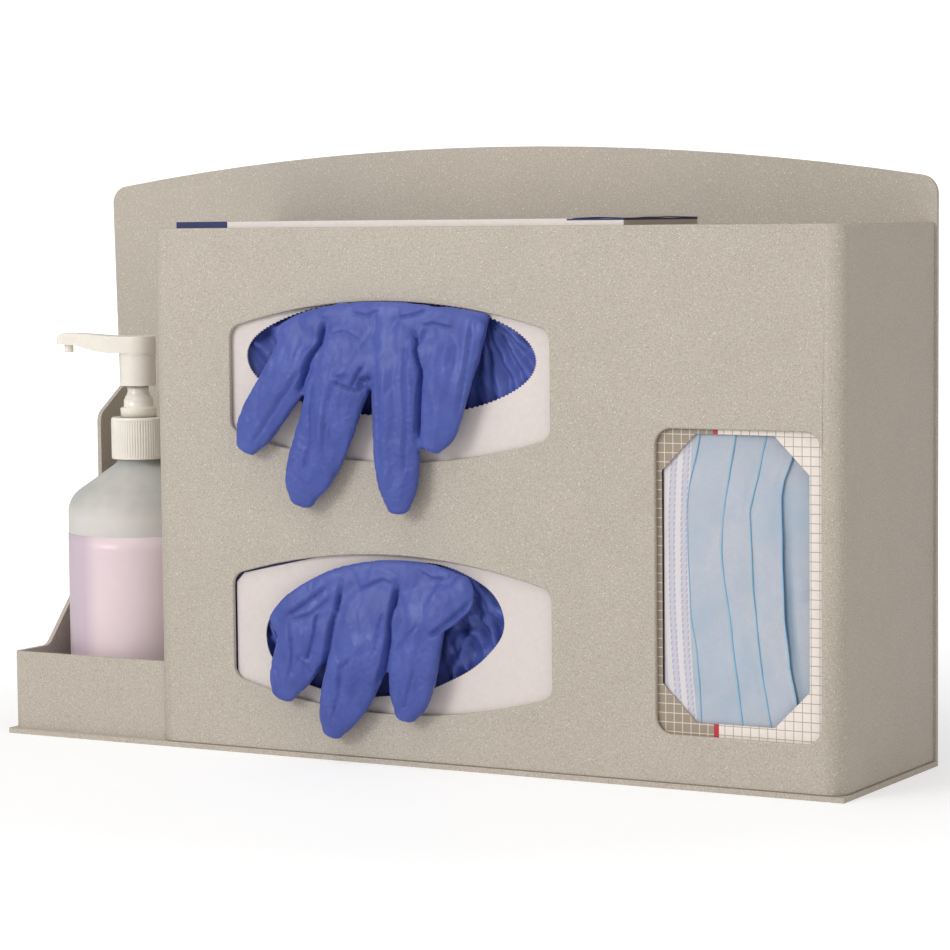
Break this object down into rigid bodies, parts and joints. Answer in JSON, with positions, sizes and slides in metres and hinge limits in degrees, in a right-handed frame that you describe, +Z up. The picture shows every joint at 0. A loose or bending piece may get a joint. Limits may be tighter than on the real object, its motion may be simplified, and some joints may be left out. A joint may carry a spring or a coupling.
{
  "type": "glove and mask dispenser",
  "caption": "Sheet plastic dispenser for stacked glove cartons and a mask carton, with a tray holding a pump bottle, for a counter or wall.",
  "frame": {"origin": "centre of the base plate's underside", "axes": "+Z up, +X to the viewer's right along the length, +Y to the wall"},
  "size_m": [0.4639, 0.1217, 0.2919],
  "materials": {
    "quartz_sheet": "satin, fine sparkling quartz fleck",
    "carton_board": "satin coated board with a dark blue band",
    "mask_board": "satin coated board with a fine ruled grid",
    "nitrile": "matte thin nitrile film",
    "mask_fabric": "soft spunbond fabric",
    "frosted_bottle": "translucent frosted polyethylene",
    "liquid": "clear gel",
    "label_film": "plain wrap label",
    "pump_plastic": "smooth moulded polypropylene",
    "tube_plastic": "natural polyethylene"
  },
  "bodies": {
    "dispenser": {"base_plate": "quartz_sheet", "back_panel": "quartz_sheet", "front_shell": "quartz_sheet", "divider_panel": "quartz_sheet", "bottle_tray": "quartz_sheet", "glove_carton_lower": "carton_board", "glove_carton_upper": "carton_board", "glove_stack_lower": "nitrile", "glove_stack_upper": "nitrile", "dispensed_glove_upper": "nitrile", "dispensed_glove_lower": "nitrile", "mask_carton": "mask_board", "mask_stack": "mask_fabric", "front_mask": "mask_fabric", "bottle": "frosted_bottle", "sanitiser_fill": "liquid"},
    "end_flap": {"carton_end_flap": "carton_board"},
    "pump_body": {"pump_housing": "tube_plastic", "pump_collar": "pump_plastic", "dip_tube": "tube_plastic"},
    "cap": {"closure_cap": "pump_plastic"},
    "plunger": {"piston_stem": "pump_plastic"},
    "head": {"actuator_head": "pump_plastic", "nozzle_tip": "pump_plastic"}
  },
  "joints": [
    {"name": "end_flap_fold", "type": "hinge", "parent": "dispenser", "child": "end_flap", "pos_m": [0.12105, -0.0135, 0.2568], "axis": [0, 1, 0], "range_deg": [0, 200]},
    {"name": "pump_lift", "type": "slide", "parent": "dispenser", "child": "pump_body", "axis": [0, 0, 1], "range_m": [0, 0.00634]},
    {"name": "cap_unscrew", "type": "hinge", "parent": "pump_body", "child": "cap", "pos_m": [-0.18065, -0.004, 0.158], "axis": [0, 0, 1], "range_deg": [0, 540]},
    {"name": "pump_press", "type": "slide", "parent": "pump_body", "child": "plunger", "axis": [0, 0, 1], "range_m": [-0.0105, 0], "stiffness_N_per_m": 400, "springref_m": 0.01},
    {"name": "head_turn", "type": "hinge", "parent": "plunger", "child": "head", "pos_m": [-0.18065, -0.004, 0.1905], "axis": [0, 0, 1], "continuous": true}
  ],
  "couplings": [
    {"joint": "cap_unscrew", "follows": "pump_lift", "rad_per_m": 1485.4}
  ]
}
